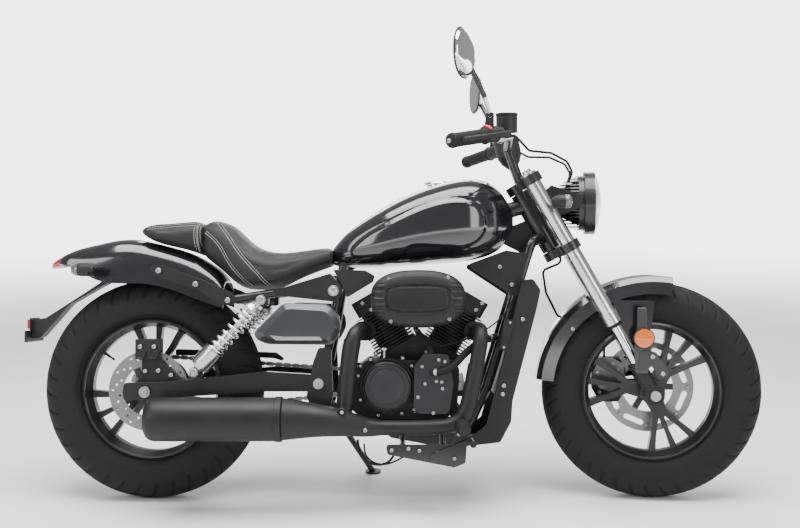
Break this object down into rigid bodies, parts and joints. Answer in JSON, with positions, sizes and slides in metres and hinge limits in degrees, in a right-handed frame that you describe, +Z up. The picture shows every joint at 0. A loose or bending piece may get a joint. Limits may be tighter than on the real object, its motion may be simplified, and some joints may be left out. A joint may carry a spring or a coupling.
{
  "type": "cruiser motorcycle",
  "caption": "Low cruiser motorcycle with a finned vee engine, teardrop tank, stepped seat and cast wheels, leaning on its side stand.",
  "frame": {"origin": "middle of the bounding box of the parked machine, on the ground", "axes": "+X towards the front wheel, +Y to the rider's left, +Z up; the machine leans 8 degrees to +Y"},
  "size_m": [2.0584, 0.9008, 1.2773],
  "materials": {
    "frame_black": "satin black enamel",
    "tank_black": "deep gloss black lacquer",
    "chrome": "polished chrome",
    "satin_alloy": "satin machined alloy",
    "engine_black": "satin black engine paint",
    "engine_grey": "cast alloy",
    "seat_leather": "black grained cover with pale stitching",
    "tyre_rubber": "matt rubber",
    "soft_rubber": "soft moulded rubber",
    "black_plastic": "textured black plastic",
    "cover_grey": "satin grey lacquer",
    "steel": "brushed steel",
    "red_lens": "red lens",
    "amber_lens": "amber lens",
    "lamp_glass": "clear lens",
    "mirror": "silvered glass",
    "muffler_black": "heat-proof satin black"
  },
  "bodies": {
    "frame": {"main_frame": "frame_black", "swingarm": "frame_black", "rear_axle": "steel", "pivot_bolt": "steel", "shock_bodies": "satin_alloy", "shock_springs": "chrome", "engine_cases": "engine_black", "engine_side_covers": "satin_alloy", "cylinders": "engine_black", "air_cleaner": "engine_black", "inlet": "engine_grey", "fuel_tank": "tank_black", "tank_cap": "chrome", "rider_seat": "seat_leather", "passenger_seat": "seat_leather", "rear_fender": "tank_black", "fender_struts": "frame_black", "tail_lamp": "red_lens", "rear_signals": "black_plastic", "plate_bracket": "black_plastic", "rear_reflector": "red_lens", "side_covers": "cover_grey", "neck_covers": "black_plastic", "radiator": "engine_grey", "radiator_shroud": "black_plastic", "exhaust_pipes": "muffler_black", "muffler": "muffler_black", "footpegs": "frame_black", "foot_levers": "frame_black", "rear_caliper": "engine_black", "chain": "steel", "chain_guard": "black_plastic"},
    "rear_wheel": {"rear_tyre": "tyre_rubber", "rear_wheel_casting": "frame_black", "rear_disc": "steel", "rear_sprocket": "steel"},
    "steering": {"triple_clamps": "frame_black", "fork_tubes": "chrome", "stanchions": "chrome", "fork_lowers": "engine_black", "front_axle": "steel", "handlebar": "frame_black", "grips": "soft_rubber", "hand_controls": "black_plastic", "mirrors": "chrome", "mirror_glass": "mirror", "headlamp_shell": "frame_black", "headlamp_lens": "lamp_glass", "instrument": "black_plastic", "front_fender": "tank_black", "front_caliper": "engine_black", "front_signals": "black_plastic", "fork_reflectors": "amber_lens", "control_cables": "soft_rubber"},
    "front_wheel": {"front_tyre": "tyre_rubber", "front_wheel_casting": "frame_black", "front_disc": "steel"},
    "side_stand": {"side_stand": "frame_black"}
  },
  "joints": [
    {"name": "steering", "type": "hinge", "parent": "frame", "child": "steering", "pos_m": [0.45736, -0.06728, 0.68167], "axis": [-0.4946, 0.121, 0.8607], "range_deg": [-30.9, 45.1]},
    {"name": "front_wheel_spin", "type": "hinge", "parent": "steering", "child": "front_wheel", "pos_m": [0.72665, -0.12611, 0.30325], "axis": [0.1075, 0.9912, -0.0776], "continuous": true},
    {"name": "rear_wheel_spin", "type": "hinge", "parent": "frame", "child": "rear_wheel", "pos_m": [-0.67305, -0.12008, 0.30514], "axis": [0.0001, 0.9903, -0.1392], "continuous": true},
    {"name": "side_stand_fold", "type": "hinge", "parent": "frame", "child": "side_stand", "pos_m": [-0.15295, -0.01967, 0.17213], "axis": [0.1052, 0.8617, 0.4965], "range_deg": [0, 118.38]}
  ]
}
